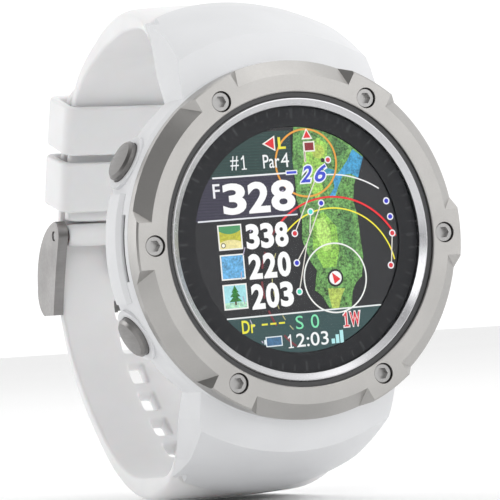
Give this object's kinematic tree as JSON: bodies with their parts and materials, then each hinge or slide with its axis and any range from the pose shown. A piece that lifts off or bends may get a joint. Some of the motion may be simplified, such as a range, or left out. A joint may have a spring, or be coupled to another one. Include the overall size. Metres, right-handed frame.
{
  "type": "golf gps watch",
  "caption": "Round golf GPS wrist watch with a screwed bezel, colour screen, side pushers and a soft strap closed by a pin buckle.",
  "frame": {"origin": "middle of the closed strap loop, where the wrist goes", "axes": "+Z towards 12 o'clock, +X towards 3 o'clock, the watch's face looks along -Y and the buckle is at +Y"},
  "size_m": [0.0524, 0.0737, 0.0748],
  "materials": {
    "titanium": "matte blasted",
    "screw_steel": "satin",
    "black_seal": "matte",
    "polished_steel": "polished",
    "crystal_glass": "clear",
    "dial_black": "satin",
    "screen": "lit colour screen",
    "screen_back": "matte",
    "inner_plastic": "matte",
    "flex_film": "satin",
    "white_resin": "satin",
    "black_trim": "satin",
    "dark_resin": "matte",
    "gold_contacts": "gold plated",
    "circuit_board": "satin",
    "can_steel": "satin",
    "antenna_ceramic": "matte",
    "battery_foil": "satin",
    "white_silicone": "soft matte",
    "buckle_steel": "brushed",
    "pusher_steel": "brushed",
    "spring_steel": "bright"
  },
  "bodies": {
    "watch": {"backlight_unit": "screen_back", "battery": "battery_foil", "battery_tray": "inner_plastic", "bezel": "titanium", "bezel_screws": "screw_steel", "bezel_seal": "black_seal", "buckle_bar": "screw_steel", "case_back": "dark_resin", "case_back_gasket": "black_seal", "case_back_screws": "screw_steel", "chapter_ring": "dial_black", "charging_contacts": "gold_contacts", "crystal": "crystal_glass", "crystal_gasket": "black_seal", "crystal_ring": "polished_steel", "display_flex": "flex_film", "display_holder": "inner_plastic", "display_panel": "screen", "fixed_keeper": "white_silicone", "gps_antenna": "antenna_ceramic", "lower_spring_bar": "screw_steel", "lower_strap": "white_silicone", "main_board": "circuit_board", "mid_case": "white_resin", "processor_shield": "can_steel", "side_slot_insert": "black_trim", "tact_switches": "inner_plastic", "upper_spring_bar": "screw_steel", "upper_strap": "white_silicone", "vibration_motor": "can_steel"},
    "buckle_frame": {"buckle_frame": "buckle_steel"},
    "buckle_tongue": {"buckle_tongue": "buckle_steel"},
    "free_keeper": {"free_keeper": "white_silicone"},
    "pusher_ten": {"pusher_ten": "pusher_steel", "pusher_seal_ten": "black_seal", "pusher_clip_ten": "screw_steel", "pusher_spring_ten": "spring_steel"},
    "pusher_eight": {"pusher_eight": "pusher_steel", "pusher_seal_eight": "black_seal", "pusher_clip_eight": "screw_steel", "pusher_spring_eight": "spring_steel"},
    "pusher_two": {"pusher_two": "pusher_steel", "pusher_seal_two": "black_seal", "pusher_clip_two": "screw_steel", "pusher_spring_two": "spring_steel"},
    "pusher_four": {"pusher_four": "pusher_steel", "pusher_seal_four": "black_seal", "pusher_clip_four": "screw_steel", "pusher_spring_four": "spring_steel"}
  },
  "joints": [
    {"name": "pusher_ten_press", "type": "slide", "parent": "watch", "child": "pusher_ten", "axis": [0.8829, 0, -0.4695], "range_m": [0, 0.0008], "stiffness_N_per_m": 1500, "springref_m": -0.001, "deforming": ["pusher_spring_ten"]},
    {"name": "pusher_eight_press", "type": "slide", "parent": "watch", "child": "pusher_eight", "axis": [0.8829, 0, 0.4695], "range_m": [0, 0.0008], "stiffness_N_per_m": 1500, "springref_m": -0.001, "deforming": ["pusher_spring_eight"]},
    {"name": "pusher_two_press", "type": "slide", "parent": "watch", "child": "pusher_two", "axis": [-0.8829, 0, -0.4695], "range_m": [0, 0.0008], "stiffness_N_per_m": 1500, "springref_m": -0.001, "deforming": ["pusher_spring_two"]},
    {"name": "pusher_four_press", "type": "slide", "parent": "watch", "child": "pusher_four", "axis": [-0.8829, 0, 0.4695], "range_m": [0, 0.0008], "stiffness_N_per_m": 1500, "springref_m": -0.001, "deforming": ["pusher_spring_four"]},
    {"name": "buckle_frame_turn", "type": "hinge", "parent": "watch", "child": "buckle_frame", "pos_m": [0, 0.02845, 0.0044], "axis": [1, 0, 0], "range_deg": [0, 5]},
    {"name": "buckle_tongue_turn", "type": "hinge", "parent": "buckle_frame", "child": "buckle_tongue", "pos_m": [0, 0.02845, 0.0044], "axis": [1, 0, 0], "range_deg": [0, 3]},
    {"name": "free_keeper_slide", "type": "slide", "parent": "watch", "child": "free_keeper", "axis": [0, -0.3206, 0.9472], "range_m": [-0.0008, 0.0008]}
  ]
}
